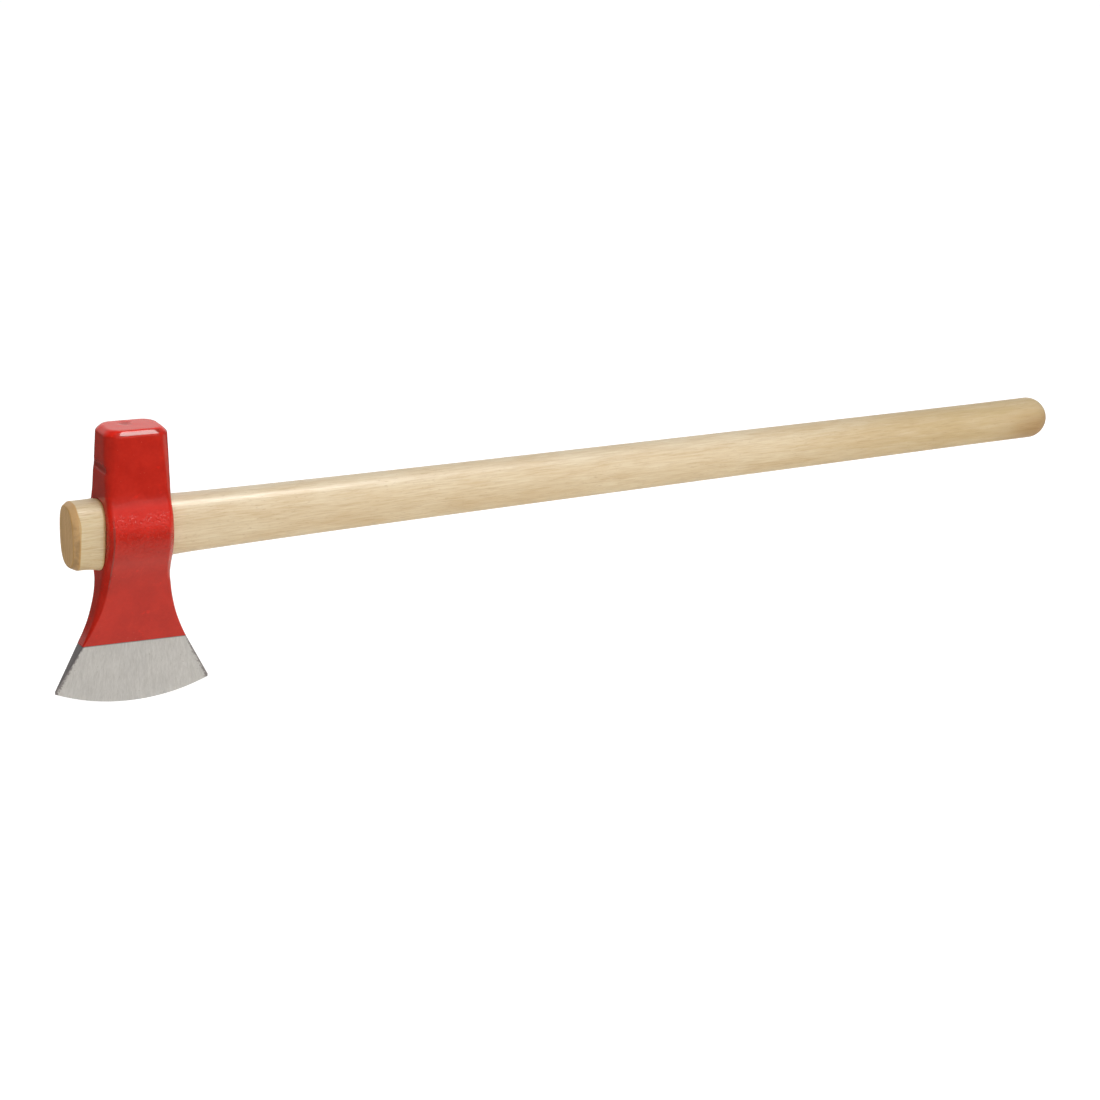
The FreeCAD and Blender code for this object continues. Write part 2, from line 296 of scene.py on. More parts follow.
# darker wood on the underside of the butt
BEECH_DARKER_UNDER_BUTT = (0.33, 0.185, 0.068)
BEECH_EDGE = (0.52, 0.29, 0.085)
CHAMFER_LIGHT = (0.53, 0.31, 0.125)
CHAMFER_DARK = (0.33, 0.19, 0.078)
END_LIGHT = (0.68, 0.455, 0.235)
END_DARK = (0.53, 0.33, 0.155)
BROAD_BANDS = (95.0, 14.0, 0.30, 0.70)
BLOTCHES = (70.0, 24.0, 0.50, 0.68)
PALE_LINES = (300.0, 9.0, 0.60, 0.70)
ROUGH_GRAIN = (820.0, 42.0, 0.50, 0.70)
FIBRES = (980.0, 48.0, 0.40, 0.64)
THREADS = (1300.0, 55.0, 0.52, 0.66)
FLECKS = (900.0, 190.0, 0.58, 0.70)
SAW_MARKS = (330.0, 26.0, 0.30, 0.70)
HEART_ASIDE = -0.055
HEART_BELOW = -0.045
RING_WIDTH = 0.0034
RING_WANDER = 0.016
WANDER_PER_METRE = (5.0, 24.0, 24.0)
LATE_WOOD = ((0.30, 0.90), (1.0, 0.90))
BEECH_ROUGHNESS = (0.40, 0.50)
END_ROUGHER = 0.35
RAW_FROM = (-0.015, -0.026)
# where the wood turns darker towards the grip
DARKER_TO_GRIP_ALONG = (0.48, 0.83)
UNDER_BUTT = (0.775, 0.842)
# heights over which the underside of the butt turns darker
BUTT_UNDERSIDE_HEIGHTS = (0.018, -0.010)
# heights over which the chamfer turns blotchier and darker towards its bottom
CHAMFER_DARKER_BELOW = (0.024, 0.006)
KNOT_PLACE = (0.8385, -0.0150, 0.0030)
KNOT_RIM = (0.0030, 0.0010)
CHAMFER_ALONG = (
    (FRONT_END + 0.00005, FRONT_END + 0.0004),
    (FRONT_END + CHAMFER_LENGTH + 0.0006, FRONT_END + CHAMFER_LENGTH - 0.0004),
)
END_GRAIN = (FRONT_END + 0.0004, FRONT_END + 0.00005)
SHEEN_FADE = (0.26, 0.05)
SHEEN_START = (-0.020, 0.010)
SHEEN = (0.08, 0.50)        # lacquer far down the shaft, and next to the head

# ---- camera ----
CAMERA_PLACE = (-0.7057, -2.1079, 0.6793)
CAMERA_TURN = 26.82
CAMERA_DIP = 17.45
CAMERA_ROLL = -0.86
CAMERA_LENS = 98.2
CAMERA_FILM = 36.0
CAMERA_REACH = (0.05, 100.0)

# ---- lights, as name, place, aim, size and power ----
STRIP_BOX = ("strip_box", (0.53, -0.45, 1.50), (0.0, 0.0, 0.1), (0.70, 0.72), 15.0)
FILLS = [
    ("over_fill", (0.10, -0.90, 2.60), (0.2, 0.0, 0.0), (2.4, 1.6), 50.0),
    ("front_fill", (1.30, -3.00, 0.45), (0.2, 0.0, 0.0), (2.6, 2.0), 53.0),
    ("left_fill", (-2.60, -0.60, 0.50), (0.0, 0.0, 0.0), (1.6, 1.6), 5.0),
    ("rear_fill", (0.20, 3.20, 0.30), (0.2, 0.0, 0.0), (2.6, 2.0), 30.0),
]

# ---- surroundings: the room's directions are parts of a unit sphere ----
ROOM_TINT = (1.0, 0.98, 0.945)
ROOM_DIM = 0.35
ROOM_CEILING = 0.16
ROOM_WALL = 0.62
ROOM_REAR = 0.80
ROOM_SEEN = 1.06
REAR_FROM = (0.10, 0.70)
WALL_FOOT = (0.12, 0.14)
WALL_FROM = (-0.45, -0.70)
LEFT_DARK = (-0.70, 0.0)
FLOOR_REACH = 30.0
FLOOR_POOL = 0.82
FLOOR_DIM = 0.118
FLOOR_TINT = (1.0, 0.94, 0.82)
FLOOR_BOUNCE = (0.88, 0.82, 0.70)
FLOOR_SEEN = 0.35
FLOOR_GLOW = 0.90
POOL_ALONG = (-0.13, -0.06)
POOL_ACROSS = (0.12, 0.50)


# ======== shape of the head ========


class CheekProfile:
    """Half thickness of the head over its height: tangent arcs between poll, eye and blade."""

    def __init__(self):
        self.poll = POLL_THICKNESS / 2
        self.swell_x = EYE_THICKNESS / 2 - EYE_SWELL_RADIUS
        reach = EYE_SWELL_RADIUS + POLL_HOLLOW_RADIUS
        across = self.poll + POLL_HOLLOW_RADIUS - self.swell_x
        self.poll_foot = math.sqrt(reach**2 - across**2)
        self.swell_top = self.poll_foot * EYE_SWELL_RADIUS / reach

        along = np.array([CHEEK_SLOPE, 1.0]) / math.hypot(CHEEK_SLOPE, 1.0)
        outward = np.array([along[1], -along[0]])
        bit = np.array([BIT_THICKNESS / 2, -BIT_DEPTH])
        swell = np.array([self.swell_x, 0.0])
        start = bit + outward * CHEEK_HOLLOW_RADIUS - swell
        reach = EYE_SWELL_RADIUS + CHEEK_HOLLOW_RADIUS
        middle = start @ along
        run = -middle - math.sqrt(middle**2 - start @ start + reach**2)
        self.hollow = swell + start + along * run
        self.cheek_foot = (self.hollow - outward * CHEEK_HOLLOW_RADIUS)[1]
        self.swell_foot = self.hollow[1] * EYE_SWELL_RADIUS / reach

    def half(self, z):
        def arc(centre, radius, sign):
            return centre[0] + sign * np.sqrt(np.maximum(radius**2 - (z - centre[1]) ** 2, 0))

        poll_hollow = (self.poll + POLL_HOLLOW_RADIUS, self.poll_foot)
        return np.select(
            [z >= self.poll_foot, z >= self.swell_top, z >= self.swell_foot, z >= self.cheek_foot],
            [
                np.full_like(z, self.poll),
                arc(poll_hollow, POLL_HOLLOW_RADIUS, -1),
                arc((self.swell_x, 0.0), EYE_SWELL_RADIUS, 1),
                arc(self.hollow, CHEEK_HOLLOW_RADIUS, -1),
            ],
            BIT_THICKNESS / 2 + CHEEK_SLOPE * (z + BIT_DEPTH),
        )


CHEEK = CheekProfile()


def half_width(z):
    """Half width of the head along the handle, from the striking face to the bit."""
    share = (POLL_HEIGHT - z) / (POLL_HEIGHT + NECK_DEPTH)
    block = (POLL_WIDTH + (NECK_WIDTH - POLL_WIDTH) * share) / 2
    run = (BIT_WIDTH - NECK_WIDTH) / 2
    fall = BIT_DEPTH - NECK_DEPTH
    chord = math.hypot(run, fall)
    radius = chord**2 / (8 * FLARE_HOLLOW) + FLARE_HOLLOW / 2
    rise = radius - FLARE_HOLLOW
    centre_x = (NECK_WIDTH + BIT_WIDTH) / 4 + rise * fall / chord
    centre_z = -(NECK_DEPTH + BIT_DEPTH) / 2 + rise * run / chord
    flare = centre_x - np.sqrt(radius**2 - (z - centre_z) ** 2)
    return np.where(z >= -NECK_DEPTH, block, flare)


def read_off(table, z):
    """Size at height z from a table of (height, size)."""
    heights, sizes = zip(*table)
    return np.interp(z, heights, sizes)


def corner_leg(z, back=False):
    """Leg of the corner flat cut off each side of a front or back corner, softly faired."""
    table = BACK_FLATS if back else FRONT_FLATS
    fairing = np.linspace(-FLAT_FAIRING, FLAT_FAIRING, FAIRING_STEPS)
    return np.mean([read_off(table, z + step) for step in fairing], axis=0)


def bend(start, corner, end, t):
    """Point at t on the curve from start to end that is pulled to a corner."""
    return start * (1 - t) ** 2 + corner * 2 * t * (1 - t) + end * t**2


def round_corners(corners, ways, reach, steps):
    """Points round each corner of a path, each with how near it is to the corner's crest."""
    for corner, arrive, leave in zip(corners, ways, ways[1:]):
        for t in np.linspace(0, 1, steps):
            point = bend(corner - arrive * reach, corner, corner + leave * reach, t)
            yield (*point, 4 * t * (1 - t))


def between(a, b, count):
    """count points from a towards b, without b."""
    t = np.linspace(0, 1, count, endpoint=False)[:, None, None]
    return a * (1 - t) + b * t


def round_off(before, corner, after, cut, count):
    """Rounded corner, as points from cut before it towards cut after it."""

    def toward(target):
        way = target - corner
        length = np.maximum(np.linalg.norm(way, axis=1), 1e-9)[:, None]
        return corner + way / length * np.minimum(cut[:, None], ROUND_LIMIT * length)

    return bend(toward(before), corner, toward(after), np.linspace(0, 1, count)[:, None, None])


def head_quarter(z, inset, back):
    """A quarter of each rounded eight-sided ring, from the side face round to the cheek."""
    wide = half_width(z) - inset
    thick = CHEEK.half(z) - inset
    leg = np.maximum(corner_leg(z, back) - inset * (2 - math.sqrt(2)), FLAT_LEAST)
    zero = np.zeros_like(z)
    side = np.stack([wide, zero], 1)
    upper = np.stack([wide, thick - leg], 1)
    lower = np.stack([wide - leg, thick], 1)
    cheek = np.stack([zero, thick], 1)
    first = round_off(side, upper, lower, read_off(SIDE_ROUNDS, z), ROUND_STEPS)
    second = round_off(upper, lower, cheek, read_off(CHEEK_ROUNDS, z), ROUND_STEPS)
    quarter = [between(side, first[0], SIDE_STEPS), first]
    quarter += [between(first[-1], second[0], FLAT_STEPS)[1:], second]
    quarter += [between(second[-1], cheek, CHEEK_STEPS)[1:], cheek[None]]
    return np.concatenate(quarter)


def head_rings(z, inset):
    """Whole rings, one per height: array (height, point, xy)."""
    back = head_quarter(z, inset, True)
    front = head_quarter(z, inset, False)
    ring = [back[:-1], front[:0:-1] * (-1, 1), front[:-1] * (-1, -1), back[:0:-1] * (1, -1)]
    return np.concatenate(ring).transpose(1, 0, 2)


def edge_height(x):
    """Height of the cutting edge over its length."""
    return EDGE_RADIUS - EDGE_DEPTH - np.sqrt(EDGE_RADIUS**2 - x**2)


def bit_rings(top):
    """Rings from the paint line down to the cutting edge, ruled like the grind."""
    tip_drop = BIT_DEPTH + edge_height(np.array(EDGE_WIDTH / 2))
    shoulder = 1 + TIP_FLAT / tip_drop
    x, y = top[:, 0], top[:, 1]
    share = np.abs(x) / (BIT_WIDTH / 2)
    final = x * EDGE_WIDTH / BIT_WIDTH
    rings = []
    for v in np.append(np.linspace(0, shoulder, BIT_STEPS), 1.0)[1:]:
        spread = v + (min(v / shoulder, 1) - v) * share**TIP_GATHER
        wide = x * (1 + (EDGE_WIDTH / BIT_WIDTH - 1) * spread)
        thin = y * (1 - v) + y * (EDGE_LAND / BIT_THICKNESS) * v
        z = -BIT_DEPTH * (1 - v) + edge_height(final) * v
        rings.append(np.stack([wide, thin, z], 1))
    return rings


def lean(points):
    """Turn head points by HANG about the eye, into the maul's frame."""
    x, y, z = points[..., 0], points[..., 1], points[..., 2]
    c, s = math.cos(HANG), math.sin(HANG)
    return np.stack([x * c + z * s, y, z * c - x * s], -1)


def side_x(z, sign):
    """Where the head's side face lies at height z in the maul's frame."""
    c, s = math.cos(HANG), math.sin(HANG)
    x = sign * NECK_WIDTH / 2 + 0 * z
    for _ in range(4):
        x = (sign * half_width(x * s + z * c) + z * s) / c
    return x


def seat_size(x, clearance=0.0):
    """Half height and half width of the tapered seat, and with clearance of the eye."""
    run = NECK_WIDTH / 2 - x
    tall = GRIP_RADIUS + SEAT_STAND / 2 + SEAT_HEIGHT_TAPER / 2 * run
    wide = GRIP_RADIUS + PASS_CLEARANCE + SEAT_WIDTH_TAPER / 2 * run
    return tall + clearance, wide + clearance


def groove(x, y, z):
    """Depth of the shallow groove pressed across the front side of the poll."""
    down = np.clip((GROOVE_CENTRE + GROOVE_HEIGHT / 2 - z) / GROOVE_HEIGHT, 0, 1)
    across = np.sin(math.pi * down**GROOVE_LEAN) ** GROOVE_EDGE
    side = CHEEK.half(z) - corner_leg(z)
    along = np.clip((side + GROOVE_OVERRUN - np.abs(y)) / GROOVE_FADE, 0, 1)
    return np.where(x < 0, GROOVE_DEPTH * along * across, 0)


def dimple(x, y):
    """Depth of the press mark on the striking face: a round bowl with a tail to one side."""
    dx, dy = x - DIMPLE_PLACE[0], y - DIMPLE_PLACE[1]
    far = np.hypot(dx, dy * DIMPLE_STRETCH) / DIMPLE_RADIUS
    bowl = np.clip(DIMPLE_REACH - far, 0, 1) ** DIMPLE_ROUND
    along = (dx - TAIL_PLACE[0]) / TAIL_SIZE[0]
    aside = (dy - TAIL_PLACE[1]) / TAIL_SIZE[1]
    tail = np.exp(-(along**2) - aside**2)
    return DIMPLE_DEPTH * np.clip(bowl + TAIL_SHARE * tail, 0, 1)


def oval(turn, tall, wide, fullness):
    """Points of an oval; a fullness of 2 is an ellipse, and more is squarer."""
    c, s = np.cos(turn), np.sin(turn)
    power = 2 / fullness
    return wide * np.sign(c) * np.abs(c) ** power, tall * np.sign(s) * np.abs(s) ** power


def eye_ring(y, z, x, growth):
    """Point on the eye's oval, grown by growth, in the direction of (y, z)."""
    tall, wide = seat_size(x, SEAT_CLEARANCE)
    power = SEAT_FULLNESS / 2
    up = np.sign(z) * np.abs(z / tall) ** power
    aside = np.sign(y) * np.abs(y / wide) ** power
    return oval(np.arctan2(up, aside), tall + growth, wide + growth, SEAT_FULLNESS)


# ======== mesh building ========


class MeshPlan:
    """Vertices with their marks, and faces with their finish, gathered row by row."""

    def __init__(self, *marks):
        self.points = []
        self.marks = {name: [] for name in marks}
        self.faces = []
        self.finish = []
        self.count = 0

    def add(self, points, **marks):
        """Add a row of points; a mark is one number for all of them or one for each."""
        points = np.asarray(points, float).reshape(-1, 3)
        for name, rows in self.marks.items():
            rows.append(np.broadcast_to(marks.get(name, 0.0), len(points)))
        first = self.count
        self.points.append(points)
        self.count += len(points)
        return np.arange(first, self.count)

    def face(self, corners, finish=ENAMEL):
        unique = list(dict.fromkeys(int(c) for c in corners))
        if len(unique) > 2:
            self.faces.append(unique)
            self.finish.append(finish)

    def band(self, outer, inner, sign=1):
        """Quads between two closed rows, wound so they look outward on either side."""
        n = len(outer)
        for i in range(n):
            j = (i + 1) % n
            self.face((outer[i], outer[j], inner[j], inner[i])[::sign])

    def build(self, name, materials):
        mesh = bpy.data.meshes.new(name)
        mesh.from_pydata(np.concatenate(self.points).tolist(), [], self.faces)
        mesh.polygons.foreach_set("material_index", self.finish)
        for material in materials:
            mesh.materials.append(material)
        mesh.validate()
        for label, rows in self.marks.items():
            layer = mesh.attributes.new(label, "FLOAT", "POINT")
            layer.data.foreach_set("value", np.concatenate(rows).astype(np.float32))
        piece = bpy.data.objects.new(name, mesh)
        bpy.context.scene.collection.objects.link(piece)
        return piece


def set_shading(mesh):
    mesh.polygons.foreach_set("use_smooth", [True] * len(mesh.polygons))
    mesh.set_sharp_from_angle(angle=math.radians(SHARP_ANGLE))
    mesh.update()


# ======== the head's mesh ========


def head_heights():
    """Heights of the painted rings, closer together at the groove and at the paint line."""
    patch = np.linspace(PATCH_LOW, PATCH_HIGH, PATCH_RINGS)
    above = [np.arange(*span) for span in (ABOVE_EYE, AT_GROOVE, AT_POLL)]
    return np.concatenate([[-BIT_DEPTH], np.arange(*BELOW_EYE), patch, *above])


def bevel_path():
    """Inset, height and crest over the bevel and on to the striking face."""
    foot = np.array([0.0, POLL_HEIGHT - FACE_BEVEL])
    brow = np.array([FACE_BEVEL, POLL_HEIGHT])
    slope = (brow - foot) / np.linalg.norm(brow - foot)
    ways = (np.array([0.0, 1.0]), slope, np.array([1.0, 0.0]))
    return np.array(list(round_corners((foot, brow), ways, BEVEL_ROUND, BEVEL_STEPS)))


def ring_edges():
    """How close each point of a ring is to an edge of the cheeks, 0 to 1; less at the back."""
    crest = np.sin(np.linspace(*CREST_SPAN, ROUND_STEPS) * math.pi)
    quarter = [np.zeros(SIDE_STEPS), crest * SIDE_EDGE_WEAR, np.zeros(FLAT_STEPS - 1), crest]
    front = np.concatenate([*quarter, np.zeros(CHEEK_STEPS)])
    back = front * BACK_EDGE_WEAR
    return np.concatenate([back[:-1], front[:0:-1], front[:-1], back[:0:-1]])


def side_columns():
    """1 on the narrow front and back sides of a ring, fading to 0 on its cheeks."""
    turning = CHEEK_FIRST - ROUND_STEPS + ROUND_STEPS // 2
    quarter = np.zeros(QUARTER_POINTS + 1)
    quarter[:turning] = 1
    quarter[turning:CHEEK_FIRST] = TURNING_UNGROUND
    quarter[CHEEK_FIRST] = CHEEK_UNGROUND
    back = quarter[::-1]
    return np.concatenate([quarter[:-1], back[:-1], quarter[:-1], back[:-1]])


def mouth_rings(loop, sign):
    """Rings from the side face's patch in to the start of the bore, rounding the mouth."""
    y, z = loop[:, 1], loop[:, 2]
    mouth_x = sign * NECK_WIDTH / 2
    near_y, near_z = eye_ring(y, z, mouth_x, MOUTH_ROUND)
    for t in np.linspace(0, 1, PATCH_STEPS + 1)[1:]:
        ring_y, ring_z = y * (1 - t) + near_y * t, z * (1 - t) + near_z * t
        yield np.stack([side_x(ring_z, sign), ring_y, ring_z], 1), 0.0
    for t in np.linspace(0, 1, MOUTH_STEPS + 1)[1:]:
        growth = MOUTH_ROUND * (1 - math.sin(t * math.pi / 2))
        depth = MOUTH_ROUND * (1 - math.cos(t * math.pi / 2))
        ring_y, ring_z = eye_ring(y, z, mouth_x, growth)
        ring_x = side_x(ring_z, sign) - sign * depth
        yield np.stack([ring_x, ring_y, ring_z], 1), MOUTH_WEAR * math.sin(t * math.pi)


def patch_loop(rows, low, high, centre, step):
    """Vertex numbers round the side-face patch, the same way round on both sides."""
    n = len(rows[0])
    columns = [(centre + step * k) % n for k in range(-SIDE_STEPS, SIDE_STEPS + 1)]
    loop = [rows[low][c] for c in columns]
    loop += [rows[r][columns[-1]] for r in range(low + 1, high + 1)]
    loop += [rows[high][c] for c in columns[-2::-1]]
    loop += [rows[r][columns[0]] for r in range(high - 1, low, -1)]
    return np.array(loop)


def lay_head(plan, heights):
    """Rows of the head from the cutting edge up, and which of them starts the paint."""
    edges = ring_edges()
    unground = side_columns()
    body = head_rings(heights, np.zeros_like(heights))
    sunk = groove(body[..., 0], body[..., 1], np.broadcast_to(heights[:, None], body.shape[:2]))
    body[..., 0] += sunk
    top = head_rings(np.array([-BIT_DEPTH]), np.array([PAINT_THICKNESS]))[0]
    path = bevel_path()
    bevel = head_rings(np.minimum(path[:, 1], POLL_HEIGHT), path[:, 0])
    rows = []

    def lay(ring, z, edge, hollow):
        points = np.column_stack([ring, np.broadcast_to(z, len(ring))])
        rows.append(plan.add(points, edge=edge, hollow=hollow))

    for ring in bit_rings(top)[::-1]:
        lay(ring[:, :2], ring[:, 2], 0, unground)
    lay(top, -BIT_DEPTH, 0, unground)
    paint_row = len(rows)
    for ring, z, depth in zip(body, heights, sunk):
        lay(ring, z, edges, np.clip(depth / GROOVE_DEPTH * GROOVE_POOL_SHADE, 0, 1))
    for ring, (_, z, crest) in zip(bevel, path):
        lay(ring, z, crest * BEVEL_WEAR, 0)
    for share in np.linspace(1, 0, TOP_STEPS, endpoint=False)[1:]:
        ring = bevel[-1] * share
        depth = dimple(ring[:, 0], ring[:, 1])
        lay(ring, POLL_HEIGHT - depth, 0, depth / DIMPLE_DEPTH * DIMPLE_POOL_SHADE)
    return rows, paint_row


def close_head(plan, rows, paint_row, low, high):
    """Faces over the whole head, apart from the two patches that the eye goes through."""
    n = len(rows[0])
    front = 2 * QUARTER_POINTS
    depth = float(dimple(np.array(0.0), np.array(0.0)))
    pool = depth / DIMPLE_DEPTH * DIMPLE_POOL_SHADE
    middle = plan.add([[0, 0, POLL_HEIGHT - depth]], hollow=pool)[0]
    for r, (lower, upper) in enumerate(zip(rows, rows[1:])):
        finish = BARE if r < paint_row - 1 else ENAMEL
        for i in range(n):
            j = (i + 1) % n
            by_back = min(i, n - 1 - i) < SIDE_STEPS
            by_front = front - SIDE_STEPS <= i < front + SIDE_STEPS
            if low <= r < high and (by_back or by_front):
                continue
            plan.face((lower[i], lower[j], upper[j], upper[i]), finish)
    for i in range(n):
        plan.face((rows[-1][i], rows[-1][(i + 1) % n], middle))
    edge = rows[0]
    for i in range(n // 2):
        plan.face((edge[i], edge[(n - i) % n], edge[(n - i - 1) % n], edge[i + 1]), BARE)


def pierce_eye(plan, loops):
    """The eye: both mouths, rounded into the side faces, and the tapered bore between them."""
    shaped = plan.points[0]
    mouths = []
    for loop, sign in zip(loops, (1, -1)):
        last = loop
        for ring, wear in mouth_rings(shaped[loop], sign):
            fresh = plan.add(ring, edge=wear)
            plan.band(last, fresh, sign)
            last = fresh
        mouths.append(last)
    back, front = mouths
    every = np.concatenate(plan.points)
    last = back
    for t in np.linspace(0, 1, BORE_STEPS + 1)[1:-1]:
        fresh = plan.add(every[back] * (1 - t) + every[front] * t)
        plan.band(last, fresh)
        last = fresh
    plan.band(last, front)


def forge_head(materials):
    """The whole head: ground bit, painted body with its eye, and the striking face."""
    plan = MeshPlan("edge", "hollow")
    heights = head_heights()
    rows, paint_row = lay_head(plan, heights)
    low, high = (paint_row + int(np.argmin(np.abs(heights - z))) for z in (PATCH_LOW, PATCH_HIGH))
    close_head(plan, rows, paint_row, low, high)

    shaped = np.concatenate(plan.points)
    wave = [noise.fractal(Vector(p) / FORGE_LENGTH, *FORGE_DETAIL) for p in shaped]
    skin = np.array(wave) * np.clip((shaped[:, 2] + BIT_DEPTH) / FORGE_FADE, 0, 1) * FORGE_WAVE
    plan.points = [lean(shaped)]
    loops = [
        patch_loop(rows, low, high, centre, step)
        for centre, step in ((0, 1), (2 * QUARTER_POINTS, -1))
    ]
    pierce_eye(plan, loops)

    piece = plan.build("forged_head", materials)
    mesh = piece.data
    push = np.zeros(len(mesh.vertices))
    push[: len(shaped)] = skin
    push[np.unique(np.concatenate(loops))] *= FORGE_AT_MOUTH
    places = np.empty(len(mesh.vertices) * 3)
    mesh.vertices.foreach_get("co", places)
    normals = np.empty_like(places)
    mesh.vertices.foreach_get("normal", normals)
    mesh.vertices.foreach_set("co", places + normals * np.repeat(push, 3))
    set_shading(mesh)
    return piece


# ======== the handle's mesh ========


def up_shaft(x):
    """How far x is from the grip towards the seat's end, 0 to 1."""
    return min(max((GRIP_START - x) / (GRIP_START - SEAT_END), 0), 1)


def shaft_size(x):
    """Half height and half width of the handle at x."""
    if x <= SEAT_END:
        return seat_size(x)
    seat_tall, seat_wide = seat_size(SEAT_END)
    s = up_shaft(x)
    swell = seat_tall - GRIP_RADIUS - SHAFT_TAPER / 2
    tall = GRIP_RADIUS + SHAFT_TAPER / 2 * s + swell * s**SHOULDER_POWER
    return tall, GRIP_RADIUS + (seat_wide - GRIP_RADIUS) * s


def fullness(x):
    """How square the oval is at x: round at the grip, fuller in the eye, fullest before it."""
    stub = min(max((x - FRONT_END) / (MOUTH - FRONT_END), 0), 1)
    foot = FOOT_FULLNESS * stub**2 if stub < 1 else 0
    return 2 + (SEAT_FULLNESS - 2) * up_shaft(x) ** FULLNESS_POWER + foot


def press_on_head(x, y, z):
    """Where the wood bulges over the head's side face at the front, and how near it is to it."""
    joint = side_x(z, -1)
    before = joint - x
    run = np.clip((x - FRONT_END) / (joint - FRONT_END), 0, 1) ** STUB_GROWTH

    def rise(reach):
        return np.sin(np.clip(before / reach, 0, 1) * math.pi / 2)

    under = np.clip(-z / GRIP_RADIUS, 0, 1) ** 0.5
    swell = rise(FOOT_ROUND) * FOOT_DROP * run * under
    lip = rise(LIP_ROUND) * LIP_DEPTH * run
    near = np.abs(before) / JUNCTION_ROUND
    pinch = np.clip(1 - near**1.3, 0, 1) ** 1.5
    outward = 1 + lip / np.maximum(np.hypot(y, z), 1e-6)
    return y * outward, z * outward - swell, pinch


def handle_profile():
    """Places along the handle with half height, half width and how near an edge they are."""
    tall, wide = seat_size(FRONT_END + CHAMFER_LENGTH)
    for share in np.linspace(*FACE_SHARES, FACE_RINGS):
        yield FRONT_END, (tall - CHAMFER_DEPTH) * share, (wide - CHAMFER_DEPTH) * share, 0
    corners = np.array([(FRONT_END, CHAMFER_DEPTH), (FRONT_END + CHAMFER_LENGTH, 0.0)])
    slope = np.array([CHAMFER_LENGTH, -CHAMFER_DEPTH])
    slope /= np.linalg.norm(slope)
    ways = (np.array([0.0, -1.0]), slope, np.array([1.0, 0.0]))
    for x, inset, crest in round_corners(corners, ways, END_ROUND, CHAMFER_STEPS):
        yield x, tall - inset, wide - inset, crest
    spans = [
        np.arange(*STUB_SPAN),
        np.arange(*MOUTH_SPAN),
        np.linspace(SEAT_FROM, SEAT_END, SEAT_RINGS),
        np.arange(*SHAFT_SPAN),
        np.linspace(GRIP_START, BUTT_END - GRIP_RADIUS, GRIP_RINGS),
    ]
    for x in np.concatenate(spans):
        yield x, *shaft_size(x), 0
    for t in np.linspace(0, math.pi / 2, DOME_RINGS)[1:-1]:
        size = GRIP_RADIUS * math.cos(t)
        yield BUTT_END - GRIP_RADIUS + GRIP_RADIUS * math.sin(t), size, size, 0


def turn_handle(materials):
    """The whole handle: sawn front end, tapered seat, oval shaft, round grip and domed butt."""
    plan = MeshPlan("edge")
    turns = np.linspace(0, 2 * math.pi, TURN_POINTS, endpoint=False)
    around = [(math.cos(a) * RIPPLE_AROUND, math.sin(a) * RIPPLE_AROUND) for a in turns]
    tip = plan.add([[FRONT_END, 0, 0]])[0]
    rows = []
    for x, tall, wide, crest in handle_profile():
        swing = np.array([noise.noise(Vector((x * RIPPLE_ALONG, *spot))) for spot in around])
        y, z = oval(turns, tall, wide, fullness(x))
        places = np.full_like(turns, x)
        if x < 0:
            # the band next to the head takes the browner edge colour through the edge mark
            y, z, pinch = press_on_head(x, y, z)
            crest = np.maximum(crest, pinch)
        if FRONT_END < x < WANDER_END:
            share = min((x - FRONT_END) / CHAMFER_LENGTH, 1.0)
            places = places + CHAMFER_WANDER * swing * share * 2
        ring = np.stack([places, y, z], 1)
        if x > SEAT_END:
            ring[:, 1:] *= 1 + SHAFT_RIPPLE * swing[:, None]
        rows.append(plan.add(ring, edge=crest))
    butt = plan.add([[BUTT_END, 0, 0]])[0]
    for i in range(TURN_POINTS):
        j = (i + 1) % TURN_POINTS
        plan.face((tip, rows[0][j], rows[0][i]))
        plan.face((butt, rows[-1][i], rows[-1][j]))
    for a, b in zip(rows, rows[1:]):
        plan.band(a, b)
    piece = plan.build("beech_handle", materials)
    set_shading(piece.data)
    return piece


# ======== shader building ========


def opaque(colour):
    """A plain colour with its alpha; a socket stays as it is."""
    return colour if isinstance(colour, bpy.types.NodeSocket) else (*colour, 1)


